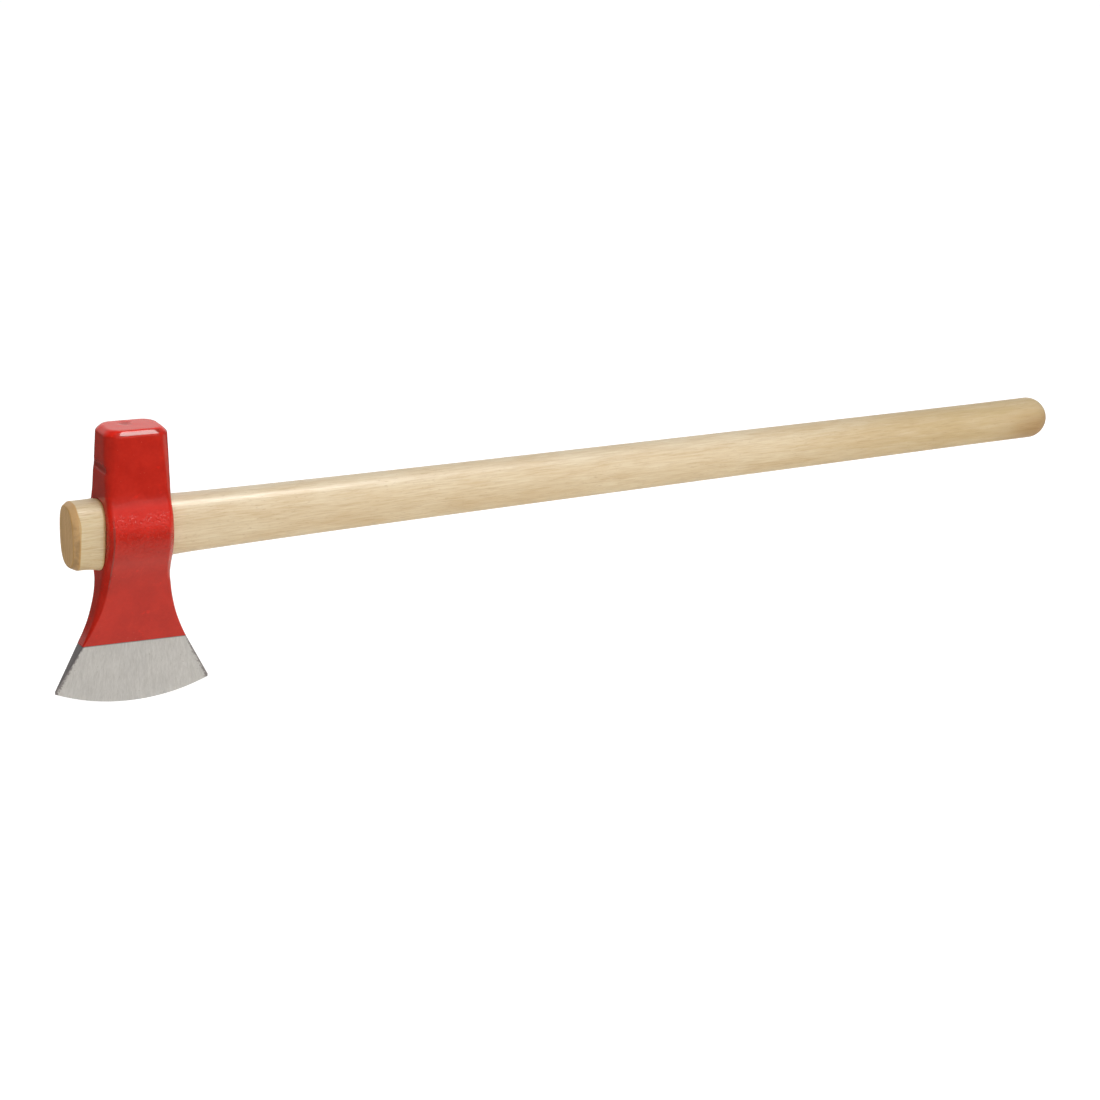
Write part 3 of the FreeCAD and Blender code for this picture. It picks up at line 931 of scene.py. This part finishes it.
class Wiring:
    """Puts nodes in one shader tree and does sums between their sockets."""

    def __init__(self, tree):
        self.tree = tree

    def fill(self, socket, value):
        if isinstance(value, bpy.types.NodeSocket):
            self.tree.links.new(value, socket)
        else:
            socket.default_value = value

    def put(self, kind, inputs=None, **settings):
        """A new node's outputs; its inputs are values or the sockets that feed them."""
        node = self.tree.nodes.new(kind)
        for key, value in settings.items():
            setattr(node, key, value)
        for key, value in (inputs or {}).items():
            self.fill(node.inputs[key], value)
        return node.outputs

    def math(self, operation, a, b=0.0, clamp=False):
        return self.put("ShaderNodeMath", {0: a, 1: b}, operation=operation, use_clamp=clamp)[0]

    def vector(self, operation, a, b=(0.0, 0.0, 0.0)):
        return self.put("ShaderNodeVectorMath", {0: a, 1: b}, operation=operation)

    def add(self, *terms):
        return functools.reduce(functools.partial(self.math, "ADD"), terms)

    def times(self, *factors):
        return functools.reduce(functools.partial(self.math, "MULTIPLY"), factors)

    def less(self, a, b):
        return self.math("SUBTRACT", a, b)

    def most(self, *values):
        return functools.reduce(functools.partial(self.math, "MAXIMUM"), values)

    def ramp(self, value, low, high, start=0.0, end=1.0, smooth=True):
        kind = "SMOOTHSTEP" if smooth else "LINEAR"
        inputs = {"Value": value, "From Min": low, "From Max": high, "To Min": start, "To Max": end}
        return self.put("ShaderNodeMapRange", inputs, interpolation_type=kind)["Result"]

    def window(self, value, rise, fall):
        """0 to 1 over rise and back to 0 over fall."""
        return self.times(self.ramp(value, *rise), self.ramp(value, *fall))

    def blend(self, share, a, b):
        inputs = {0: share, 6: opaque(a), 7: opaque(b)}
        return self.put("ShaderNodeMix", inputs, data_type="RGBA")[2]

    def split(self, vector):
        return self.put("ShaderNodeSeparateXYZ", {0: vector})

    def join(self, x, y, z):
        return self.put("ShaderNodeCombineXYZ", {"X": x, "Y": y, "Z": z})[0]

    def wave(self, place, scale, **detail):
        return self.put("ShaderNodeTexNoise", {"Vector": place, "Scale": scale, **detail})[0]

    def mark(self, name):
        return self.put("ShaderNodeAttribute", attribute_name=name)["Fac"]

    def object_place(self):
        return self.put("ShaderNodeTexCoord")["Object"]


# ======== shared effects ========


def start_effect(name, **numbers):
    """An empty node group from Place and the named numbers to Mask."""
    tree = bpy.data.node_groups.new(name, "ShaderNodeTree")
    tree.interface.new_socket("Place", in_out="INPUT", socket_type="NodeSocketVector")
    for label, value in numbers.items():
        socket = tree.interface.new_socket(label, in_out="INPUT", socket_type="NodeSocketFloat")
        socket.default_value = value
    tree.interface.new_socket("Mask", in_out="OUTPUT", socket_type="NodeSocketFloat")
    given = tree.nodes.new("NodeGroupInput").outputs
    mask = tree.nodes.new("NodeGroupOutput").inputs["Mask"]
    return Wiring(tree), given, mask


def make_cloudy():
    """Soft uneven patches: 0 to 1 over the surface, at a size and contrast."""
    wires, given, mask = start_effect("cloudy_tone", Patches=100.0, Low=0.35, High=0.65)
    cloud = wires.wave(given["Place"], given["Patches"], Detail=4.0)
    wires.fill(mask, wires.ramp(cloud, given["Low"], given["High"]))
    return wires.tree


def make_streaks():
    """Streaks drawn out along X, for wood fibres and for grinding marks."""
    wires, given, mask = start_effect("drawn_streaks", Across=800.0, Along=25.0, Low=0.35, High=0.65)
    scale = wires.join(given["Along"], given["Across"], given["Across"])
    place = wires.vector("MULTIPLY", given["Place"], scale)[0]
    streak = wires.wave(place, 1.0, Detail=3.0, Roughness=0.6)
    wires.fill(mask, wires.ramp(streak, given["Low"], given["High"]))
    return wires.tree


def make_worn_edges():
    """Where rubbing shows: the marked edges of a piece, broken up by uneven patches."""
    wires, given, mask = start_effect("worn_edges", Breaks=200.0, Reach=0.5)
    edge = wires.mark("edge")
    breaks = wires.wave(given["Place"], given["Breaks"], Detail=5.0)
    start = wires.less(1.0, given["Reach"])
    total = wires.add(edge, wires.less(breaks, 0.5))
    worn = wires.ramp(total, start, wires.add(start, 0.25))
    wires.fill(mask, wires.times(worn, edge))
    return wires.tree


def make_specks():
    """Fine scattered specks of dust and grit, each with its own size."""
    wires, given, mask = start_effect("dust_specks", Specks=400.0, Amount=0.3)
    cells = wires.put("ShaderNodeTexVoronoi", {"Vector": given["Place"], "Scale": given["Specks"]})
    pick = wires.put("ShaderNodeSeparateColor", {0: cells["Color"]})[0]
    size = wires.ramp(pick, wires.less(1.0, given["Amount"]), 1.0, 0.0, 0.34)
    reach = wires.less(size, cells["Distance"])
    wires.fill(mask, wires.ramp(reach, 0.0, 0.12))
    return wires.tree


EFFECTS = {
    "cloudy": make_cloudy(),
    "streaks": make_streaks(),
    "worn": make_worn_edges(),
    "specks": make_specks(),
}


# ======== finishes ========


class Finish(Wiring):
    """A material in the making: the place on the piece, and the colour laid down so far."""

    def __init__(self, name):
        self.material = bpy.data.materials.new(name)
        self.material.use_nodes = True
        super().__init__(self.material.node_tree)
        self.place = self.object_place()
        self.x, self.y, self.z = self.split(self.place)
        self.colour = None

    def effect(self, name, **numbers):
        inputs = {"Place": self.place, **numbers}
        return self.put("ShaderNodeGroup", inputs, node_tree=EFFECTS[name])["Mask"]

    def cloudy(self, per_metre, low=0.35, high=0.65):
        return self.effect("cloudy", Patches=per_metre, Low=low, High=high)

    def streaks(self, across, along, low, high, where=None):
        numbers = {"Across": across, "Along": along, "Low": low, "High": high}
        return self.effect("streaks", **numbers, Place=where or self.place)

    def stain(self, mask, tint, share=None):
        """Lay a colour over what is there, where mask says."""
        mask = mask if share is None else self.times(mask, share)
        self.colour = self.blend(mask, self.colour, tint)

    def complete(self, height, strength, distance, **sockets):
        """Feed the shader: a bump of that height, the colour and the sockets given."""
        bump = {"Height": height, "Strength": strength, "Distance": distance}
        sockets["Normal"] = self.put("ShaderNodeBump", bump)[0]
        sockets["Base_Color"] = self.colour
        shader = self.tree.nodes["Principled BSDF"]
        for name, value in sockets.items():
            self.fill(shader.inputs[name.replace("_", " ")], value)
        return self.material


def red_enamel():
    """Thick gloss enamel over a forged surface: orange peel, thin edges, a few grit specks.

    Three patches are painted light and shade set by place, not wear: painted light as a brighter
    red on the face and on the upper swell, and a band of painted shade that quietens the bevel's
    highlight.
    """
    skin = Finish("red_enamel")
    tone = skin.add(skin.times(skin.cloudy(55.0), 0.6), skin.times(skin.cloudy(420.0, 0.3, 0.7), 0.4))
    skin.colour = skin.blend(tone, ENAMEL_DEEP, ENAMEL_BRIGHT)
    drips = skin.cloudy(130.0, 0.66, 0.72)
    skin.stain(drips, ENAMEL_FRESH_AND_LIGHT, share=0.5)
    # painted light: brighter red over the striking face and its bevel
    skin.stain(skin.ramp(skin.z, *PAINTED_LIGHT_FACE_HEIGHTS), ENAMEL_PAINTED_LIGHT, share=0.85)
    # painted shade: a darker band along the bevel, quietening its highlight
    painted_shade = skin.times(skin.window(skin.x, *PAINTED_SHADE_ALONG), skin.window(skin.z, *PAINTED_SHADE_HEIGHTS))
    skin.stain(painted_shade, ENAMEL_THIN_AND_SHADE, share=0.55)
    # painted light: fresh red over the upper swell, where the light band falls
    skin.stain(skin.window(skin.z, *PAINTED_LIGHT_SWELL_HEIGHTS), ENAMEL_FRESH_AND_LIGHT, share=0.50)
    rubbed = skin.effect("worn", Breaks=160.0, Reach=0.40)
    thin = skin.times(rubbed, skin.window(skin.z, *THIN_HEIGHTS))
    skin.stain(thin, ENAMEL_THIN_AND_SHADE, share=0.45)
    # pooled paint and painted shade: darker red in the groove and the press mark
    pooled_shade = skin.mark("hollow")
    skin.stain(pooled_shade, ENAMEL_POOLED_SHADE, share=0.75)
    skin.stain(skin.effect("specks", Specks=640.0, Amount=0.035), ENAMEL_GRIT, share=0.30)

    peel = skin.times(skin.wave(skin.place, 520.0, Detail=2.0), 0.35)
    pits = skin.cloudy(380.0, 0.62, 0.48)
    rough = skin.times(pits, skin.window(skin.z, *ROUGH_HEIGHTS), 3.0)
    gloss = skin.ramp(tone, 0.0, 1.0, *ENAMEL_ROUGHNESS)
    gloss = skin.add(gloss, skin.times(thin, THIN_ROUGHER), skin.times(pooled_shade, POOLED_ROUGHER))
    return skin.complete(skin.add(peel, rough), strength=0.45, distance=0.00025, Roughness=gloss)


def ground_steel():
    """Bare steel left by a belt: fine lines running down to the edge, satin."""
    steel = Finish("ground_steel")
    fan = steel.ramp(steel.z, -BIT_DEPTH, -EDGE_DEPTH, 1.0, 1 / GRINDING_FAN, smooth=False)
    down = steel.join(steel.z, steel.times(steel.x, fan), steel.y)
    lines = steel.streaks(*GRINDING_LINES, where=down)
    bands = steel.streaks(*GRINDING_BANDS, where=down)
    smear = steel.cloudy(70.0)
    tone = steel.add(steel.times(lines, 0.5), steel.times(bands, 0.5))
    steel.colour = steel.blend(tone, STEEL_DARK, STEEL_LIGHT)
    upright = steel.add(steel.z, steel.times(steel.x, math.tan(HANG)))
    steel.stain(steel.ramp(upright, *PAINT_EDGE), STEEL_SCALE, share=0.85)
    torn = steel.times(steel.cloudy(600.0), 0.45)
    unground = steel.add(torn, steel.mark("hollow"))
    steel.stain(steel.ramp(unground, 0.48, 1.05, 0.0, 0.78), STEEL_SCALE)
    steel.stain(steel.effect("worn", Breaks=300.0, Reach=0.5), STEEL_LIGHT)
    steel.stain(steel.effect("specks", Specks=500.0, Amount=0.06), STEEL_GRIT, share=0.4)
    satin = steel.ramp(lines, 0, 1, *STEEL_ROUGHNESS)
    satin = steel.add(satin, steel.ramp(smear, 0, 1, *SMEAR_ROUGHER))
    return steel.complete(lines, strength=0.25, distance=0.00008, Roughness=satin, Metallic=0.55)


def growth_rings(wood):
    """Late wood of the growth rings, round a heart that lies outside the handle."""
    wander = wood.wave(wood.vector("MULTIPLY", wood.place, WANDER_PER_METRE)[0], 1.0, Detail=2.0)
    heart = wood.join(0.0, wood.less(wood.y, HEART_ASIDE), wood.less(wood.z, HEART_BELOW))
    away = wood.vector("LENGTH", heart)["Value"]
    away = wood.add(away, wood.times(wander, RING_WANDER))
    rings = wood.math("FRACT", wood.math("DIVIDE", away, RING_WIDTH))
    return wood.window(rings, *LATE_WOOD)


def lacquered_beech():
    """Pale beech under clear lacquer: long fibres, growth bands, short brown ray flecks.

    The tone deepens towards the grip and under the butt, and the gloss fades away from the head.
    """
    wood = Finish("lacquered_beech")
    late = growth_rings(wood)
    broad = wood.streaks(*BROAD_BANDS)
    fibres = wood.streaks(*FIBRES)
    flecks = wood.streaks(*FLECKS)
    wood.colour = wood.blend(broad, BEECH_PALE, BEECH_WARM)
    wood.stain(wood.streaks(*BLOTCHES), BEECH_TAN, share=0.24)
    wood.stain(late, BEECH_TAN, share=0.12)
    wood.stain(wood.streaks(*PALE_LINES), BEECH_PALE, share=0.30)

    raw = wood.ramp(wood.x, *RAW_FROM)
    wood.stain(raw, BEECH_RAW, share=0.42)
    # darker wood towards the grip
    darker_to_grip = wood.times(wood.ramp(wood.x, *DARKER_TO_GRIP_ALONG), wood.ramp(broad, 0, 1, 0.65, 1.0))
    wood.stain(darker_to_grip, BEECH_DARKER_TO_GRIP, share=0.72)
    # darker on the underside of the butt
    under_butt = wood.times(wood.ramp(wood.x, *UNDER_BUTT), wood.ramp(wood.z, *BUTT_UNDERSIDE_HEIGHTS))
    wood.stain(under_butt, BEECH_DARKER_UNDER_BUTT, share=0.95)

    wood.stain(wood.times(wood.streaks(*ROUGH_GRAIN), raw), BEECH_FLECK, share=0.36)
    wood.stain(fibres, BEECH_TAN, share=0.34)
    threads = wood.times(wood.streaks(*THREADS), wood.ramp(broad, 0, 1, 0.5, 1.0))
    threads = wood.times(threads, wood.ramp(raw, 0, 1, 0.75, 1.2))
    wood.stain(threads, BEECH_FLECK, share=0.40)
    wood.stain(wood.times(flecks, wood.ramp(wood.cloudy(14.0), 0, 1, 0.10, 0.30)), BEECH_FLECK)
    off_knot = wood.vector("DISTANCE", wood.place, KNOT_PLACE)["Value"]
    knot = wood.ramp(wood.add(off_knot, wood.times(fibres, 0.0010)), *KNOT_RIM)
    wood.stain(knot, BEECH_FLECK, share=0.55)

    # the chamfer is blotchier and darker towards its bottom
    uneven = wood.times(wood.cloudy(150.0), wood.ramp(wood.z, *CHAMFER_DARKER_BELOW))
    chamfer_colour = wood.blend(uneven, CHAMFER_LIGHT, CHAMFER_DARK)
    wood.stain(wood.window(wood.x, *CHAMFER_ALONG), chamfer_colour, share=0.85)
    end = wood.ramp(wood.x, *END_GRAIN)
    saw = wood.streaks(*SAW_MARKS, where=wood.join(wood.z, wood.y, wood.x))
    pores = wood.effect("specks", Specks=900.0, Amount=0.5)
    end_tone = wood.add(wood.times(saw, 0.7), wood.times(late, 0.15))
    end_tone = wood.math("ADD", end_tone, wood.times(pores, 0.15), clamp=True)
    wood.stain(end, wood.blend(end_tone, END_LIGHT, END_DARK))
    # browner on the chamfer's worn rims, and in a band of the stub where it meets the head
    wood.stain(wood.effect("worn", Breaks=170.0, Reach=0.75), BEECH_EDGE, share=0.70)

    relief = wood.add(wood.times(fibres, 0.6), wood.times(flecks, 0.5), wood.times(end, saw, 2.0))
    satin = wood.add(wood.ramp(fibres, 0, 1, *BEECH_ROUGHNESS), wood.times(end, END_ROUGHER))
    sheen = wood.ramp(wood.x, *SHEEN_FADE, *SHEEN)
    lacquer = wood.times(sheen, wood.ramp(wood.x, *SHEEN_START))
    coat = {"Coat_Weight": lacquer, "Coat_Roughness": 0.25}
    return wood.complete(relief, strength=0.25, distance=0.00012, Roughness=satin, **coat)


# ======== studio ========


def pale_floor(height):
    """A plain pale floor; in reflections it is a pool of light under the maul, dim elsewhere."""
    mesh = bpy.data.meshes.new("studio_floor")
    far = FLOOR_REACH
    corners = [(-far, -far, height), (far, -far, height), (far, far, height), (-far, far, height)]
    mesh.from_pydata(corners, [], [(0, 1, 2, 3)])
    floor = bpy.data.objects.new("studio_floor", mesh)
    bpy.context.scene.collection.objects.link(floor)
    material = bpy.data.materials.new("pale_floor")
    material.use_nodes = True
    wires = Wiring(material.node_tree)
    wires.tree.nodes.remove(wires.tree.nodes["Principled BSDF"])
    x, y, _ = wires.split(wires.object_place())
    pool = wires.times(
        wires.ramp(wires.math("ABSOLUTE", y), *POOL_ACROSS, 1.0, 0.0), wires.ramp(x, *POOL_ALONG)
    )
    pool = wires.ramp(pool, 0.0, 1.0, FLOOR_DIM, FLOOR_POOL, smooth=False)
    rays = wires.put("ShaderNodeLightPath")
    mirrored = wires.put("ShaderNodeEmission", {"Color": (*FLOOR_TINT, 1), "Strength": pool})[0]
    lit = wires.put("ShaderNodeBsdfDiffuse", {"Color": (*FLOOR_BOUNCE, 1)})[0]
    bounced = {0: rays["Is Glossy Ray"], 1: lit, 2: mirrored}
    bounced = wires.put("ShaderNodeMixShader", bounced)[0]
    seen = wires.put("ShaderNodeBsdfDiffuse", {"Color": (*[FLOOR_SEEN] * 3, 1)})[0]
    glow = wires.put("ShaderNodeEmission", {"Strength": FLOOR_GLOW})[0]
    pale = wires.put("ShaderNodeAddShader", {0: seen, 1: glow})[0]
    both = wires.put("ShaderNodeMixShader", {0: rays["Is Camera Ray"], 1: bounced, 2: pale})[0]
    wires.fill(wires.tree.nodes["Material Output"].inputs["Surface"], both)
    mesh.materials.append(material)


def studio_room():
    """Soft white surroundings: bright behind, a dim wall of light in front, dark to the left."""
    world = bpy.data.worlds.new("studio_room")
    world.use_nodes = True
    wires = Wiring(world.node_tree)
    x, y, z = wires.split(wires.put("ShaderNodeTexCoord")["Generated"])
    rear = wires.ramp(y, *REAR_FROM, 0.0, ROOM_REAR)
    wall = wires.times(wires.ramp(z, *WALL_FOOT, ROOM_CEILING, ROOM_WALL), wires.ramp(y, *WALL_FROM))
    power = wires.most(rear, wall, ROOM_CEILING)
    power = wires.times(power, wires.ramp(x, *LEFT_DARK, ROOM_DIM, 1.0))
    looking = wires.put("ShaderNodeLightPath")["Is Camera Ray"]
    power = wires.ramp(looking, 0.0, 1.0, power, ROOM_SEEN)
    back = wires.tree.nodes["Background"]
    wires.fill(back.inputs["Color"], (*ROOM_TINT, 1))
    wires.fill(back.inputs["Strength"], power)
    bpy.context.scene.world = world


def softbox(name, place, aim, size, power):
    light = bpy.data.lights.new(name, "AREA")
    light.shape = "RECTANGLE"
    light.size, light.size_y = size
    light.energy = power
    lamp = bpy.data.objects.new(name, light)
    lamp.location = place
    way = Vector(aim) - Vector(place)
    lamp.rotation_euler = way.to_track_quat("-Z", "Y").to_euler()
    bpy.context.scene.collection.objects.link(lamp)
    return lamp


def stand_camera():
    turn, dip, roll = (math.radians(a) for a in (CAMERA_TURN, CAMERA_DIP, CAMERA_ROLL))
    ahead = Vector(
        (math.sin(turn) * math.cos(dip), math.cos(turn) * math.cos(dip), -math.sin(dip))
    )
    level = Vector((math.cos(turn), -math.sin(turn), 0))
    above = level.cross(ahead)
    right = level * math.cos(roll) - above * math.sin(roll)
    up = level * math.sin(roll) + above * math.cos(roll)
    data = bpy.data.cameras.new("studio_camera")
    data.lens = CAMERA_LENS
    data.sensor_width = CAMERA_FILM
    data.clip_start, data.clip_end = CAMERA_REACH
    camera = bpy.data.objects.new("studio_camera", data)
    turned = Matrix((right, up, -ahead)).transposed().to_4x4()
    camera.matrix_world = Matrix.Translation(CAMERA_PLACE) @ turned
    bpy.context.scene.collection.objects.link(camera)
    bpy.context.scene.camera = camera


# ======== putting it together ========

stand_camera()
studio_room()
softbox(*STRIP_BOX).visible_diffuse = False
for fill in FILLS:
    softbox(*fill).visible_glossy = False
bpy.context.scene.view_settings.view_transform = "Standard"
bpy.context.scene.view_settings.look = "None"

head = forge_head([red_enamel(), ground_steel()])
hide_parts("maul_head")
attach(head, "head")

handle = turn_handle([lacquered_beech()])
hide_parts("handle")
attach(handle, "handle")

pale_floor(CAD_BOX[0][2])
